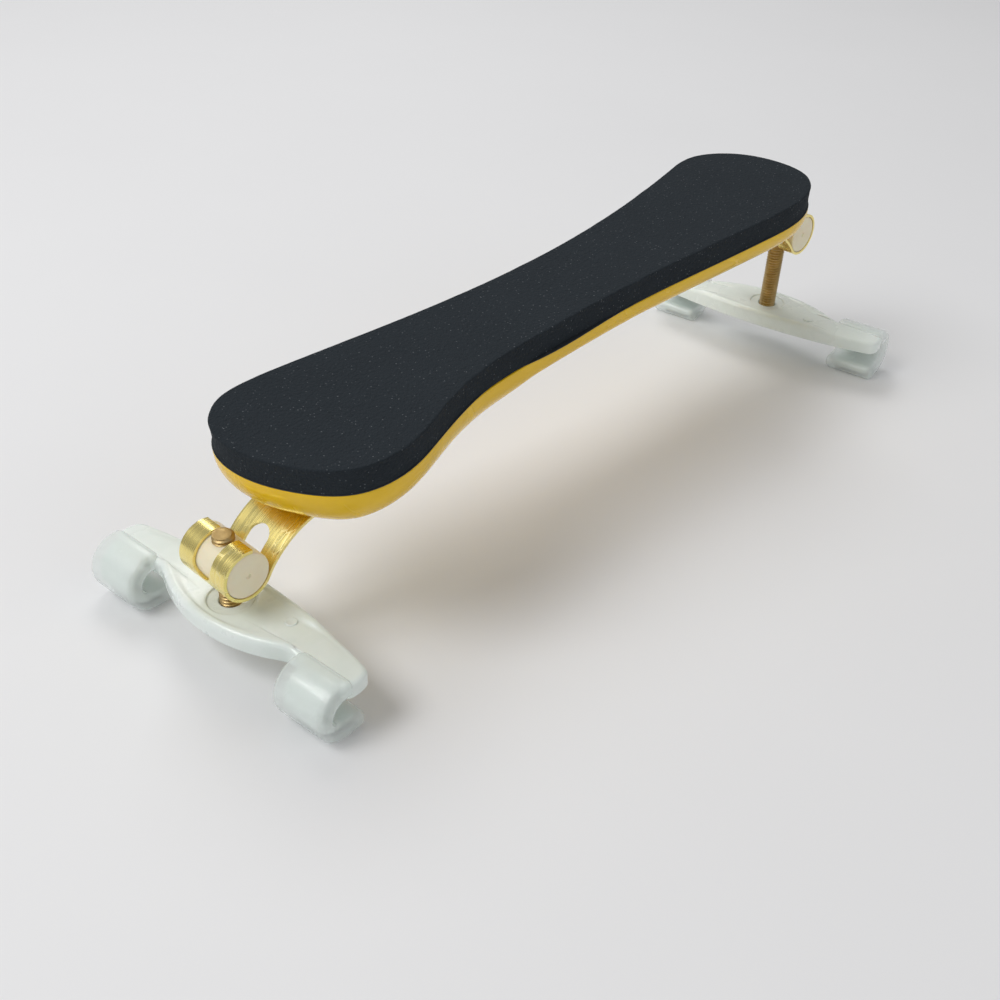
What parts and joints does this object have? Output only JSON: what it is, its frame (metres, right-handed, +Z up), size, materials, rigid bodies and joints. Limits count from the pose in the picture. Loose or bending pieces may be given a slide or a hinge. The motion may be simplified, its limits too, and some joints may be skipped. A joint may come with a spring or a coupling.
{
  "type": "violin shoulder rest",
  "caption": "Padded bar that clips across the back of a violin on two hooked feet, with sliding brackets, fold-in barrels and screw height setting.",
  "frame": {"origin": "middle of the bounding box, on the surface that the four claws stand on", "axes": "+X from the near foot to the far foot, +Y towards the violin's neck, +Z up from the violin's back"},
  "size_m": [0.1916, 0.0636, 0.0512],
  "materials": {
    "foam": "closed-cell foam, matt, fine speckle",
    "film": "thin clear adhesive film",
    "base": "glossy golden yellow moulding",
    "strip": "brushed gold-plated strip",
    "nylon": "cream nylon",
    "rod": "threaded brass rod",
    "foot": "milky translucent moulding",
    "sleeve": "clear soft sleeve",
    "steel": "plated screw steel",
    "insert": "knurled brass"
  },
  "bodies": {
    "base": {"base_plate": "base", "adhesive_film": "film", "foam_pad": "foam", "near_base_inserts": "insert", "near_clamp_washers": "steel", "near_clamp_screws": "steel", "far_base_inserts": "insert", "far_clamp_washers": "steel", "far_clamp_screws": "steel"},
    "near_bracket": {"near_bracket": "strip"},
    "near_barrel": {"near_barrel_nut": "nylon"},
    "near_bush": {"near_stud_bush": "insert"},
    "near_foot": {"near_stud": "rod", "near_foot": "foot", "near_neck_sleeve": "sleeve", "near_tail_sleeve": "sleeve"},
    "far_bracket": {"far_bracket": "strip"},
    "far_barrel": {"far_barrel_nut": "nylon"},
    "far_bush": {"far_stud_bush": "insert"},
    "far_foot": {"far_stud": "rod", "far_foot": "foot", "far_neck_sleeve": "sleeve", "far_tail_sleeve": "sleeve"}
  },
  "joints": [
    {"name": "near_width", "type": "slide", "parent": "base", "child": "near_bracket", "axis": [-0.9976, 0, -0.0698], "range_m": [-0.002, 0.006]},
    {"name": "near_fold", "type": "hinge", "parent": "near_bracket", "child": "near_barrel", "pos_m": [-0.08518, -0.00018, 0.0205], "axis": [0, -1, 0], "range_deg": [-4, 58]},
    {"name": "near_height", "type": "slide", "parent": "near_barrel", "child": "near_bush", "axis": [0, 0, -1], "range_m": [-0.00281, 0.00421]},
    {"name": "near_turn", "type": "hinge", "parent": "near_bush", "child": "near_foot", "pos_m": [-0.08518, -0.00018, 0.012], "axis": [0, 0, -1], "range_deg": [-1440, 2160]},
    {"name": "far_width", "type": "slide", "parent": "base", "child": "far_bracket", "axis": [0.9976, 0, 0.0698], "range_m": [-0.002, 0.006]},
    {"name": "far_fold", "type": "hinge", "parent": "far_bracket", "child": "far_barrel", "pos_m": [0.08282, -0.00018, 0.03225], "axis": [0, 1, 0], "range_deg": [-12, 70]},
    {"name": "far_height", "type": "slide", "parent": "far_barrel", "child": "far_bush", "axis": [0, 0, -1], "range_m": [-0.00561, 0.00561]},
    {"name": "far_turn", "type": "hinge", "parent": "far_bush", "child": "far_foot", "pos_m": [0.08282, -0.00018, 0.012], "axis": [0, 0, -1], "range_deg": [-2880, 2880]}
  ],
  "couplings": [
    {"joint": "near_height", "follows": "near_turn", "m_per_rad": 0.00011141},
    {"joint": "far_height", "follows": "far_turn", "m_per_rad": 0.00011141}
  ]
}
